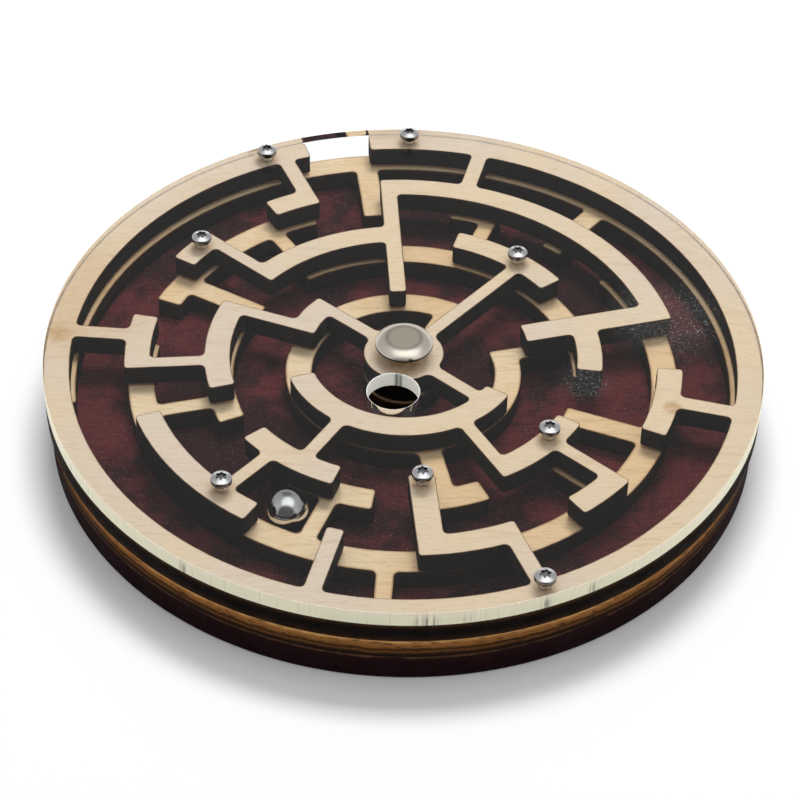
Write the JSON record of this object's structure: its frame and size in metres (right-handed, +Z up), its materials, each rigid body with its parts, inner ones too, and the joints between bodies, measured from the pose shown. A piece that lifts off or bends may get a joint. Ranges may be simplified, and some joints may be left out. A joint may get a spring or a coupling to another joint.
{
  "type": "rotating ball labyrinth",
  "caption": "Round hand-held labyrinth in layers: a clear cover and upper maze plate turn on a capped pivot over a lower maze and base, leading a steel ball to the rim gates.",
  "frame": {"origin": "centre of the base's underside, on the pivot axis", "axes": "+Z up along the pivot axis; the picture is taken from the -Y side, with +X to the right"},
  "size_m": [0.2, 0.2, 0.0288],
  "materials": {
    "stained_wood": "dark mahogany stain, mottled, with a near-black edge",
    "lower_ply": "bare birch plywood, laser cut, with scorched brown walls",
    "upper_ply": "bare birch plywood, pale, laser cut, with scorched near-black walls",
    "clear_acrylic": "clear, polished faces and a matt cut edge",
    "pivot_metal": "satin nickel with a polished edge",
    "screw_steel": "polished stainless",
    "washer_plastic": "natural white nylon",
    "ball_steel": "mirror polished bearing ball"
  },
  "bodies": {
    "base": {"base_disc": "stained_wood", "lower_maze": "lower_ply", "pivot_sleeve": "pivot_metal", "pivot_screw": "screw_steel", "thrust_washer": "washer_plastic", "cap_washer": "washer_plastic"},
    "top": {"upper_maze": "upper_ply", "cover_disc": "clear_acrylic", "cover_screw_1": "screw_steel", "cover_screw_2": "screw_steel", "cover_screw_3": "screw_steel", "cover_screw_4": "screw_steel", "cover_screw_5": "screw_steel", "cover_screw_6": "screw_steel", "cover_screw_7": "screw_steel", "cover_screw_8": "screw_steel"},
    "ball": {"ball": "ball_steel"}
  },
  "joints": [
    {"name": "top_turn", "type": "hinge", "parent": "base", "child": "top", "pos_m": [0, 0, 0.018], "axis": [0, 0, 1], "range_deg": [-63, 0.2]},
    {"name": "ball_orbit", "type": "hinge", "parent": "base", "child": "ball", "pos_m": [0, 0, 0.01405], "axis": [0, 0, 1], "range_deg": [-38, 0.14]}
  ],
  "couplings": [
    {"joint": "ball_orbit", "follows": "top_turn", "ratio": 0.6}
  ]
}
